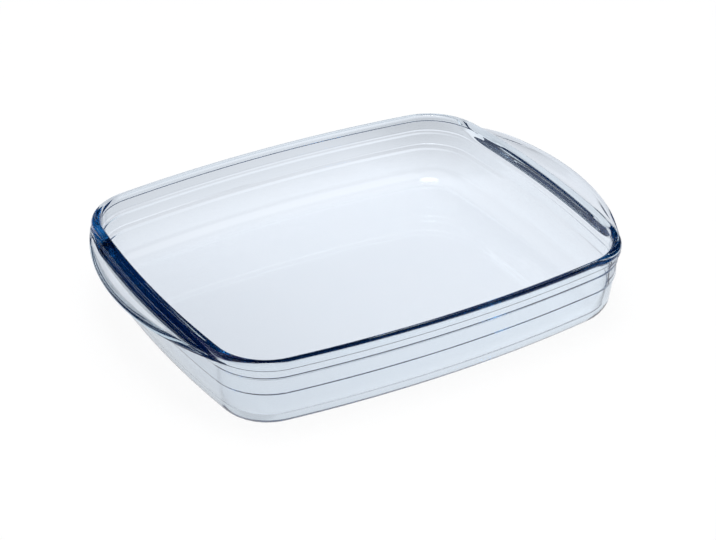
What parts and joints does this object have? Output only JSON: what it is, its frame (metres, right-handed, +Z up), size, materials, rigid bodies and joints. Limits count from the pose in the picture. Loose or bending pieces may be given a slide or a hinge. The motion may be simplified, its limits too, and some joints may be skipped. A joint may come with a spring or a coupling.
{
  "type": "glass baking dish",
  "caption": "Clear pressed-glass oven dish with bowed rectangular sides, a rounded rim, stepped wall bands, a flat base and a solid wing handle at each short side.",
  "frame": {"origin": "middle of the underside, on the surface the dish stands on", "axes": "+Z up out of the dish, +X along the long way towards the right handle, +Y towards the far long side"},
  "size_m": [0.34, 0.2524, 0.0523],
  "materials": {
    "glass": "clear and polished, with a faint blue tint that turns deep blue where the glass is seen edge on"
  },
  "bodies": {
    "root": {"base": "glass", "heel": "glass", "lower_wall": "glass", "middle_band": "glass", "upper_band": "glass", "rim": "glass", "left_handle": "glass", "right_handle": "glass"}
  },
  "joints": []
}
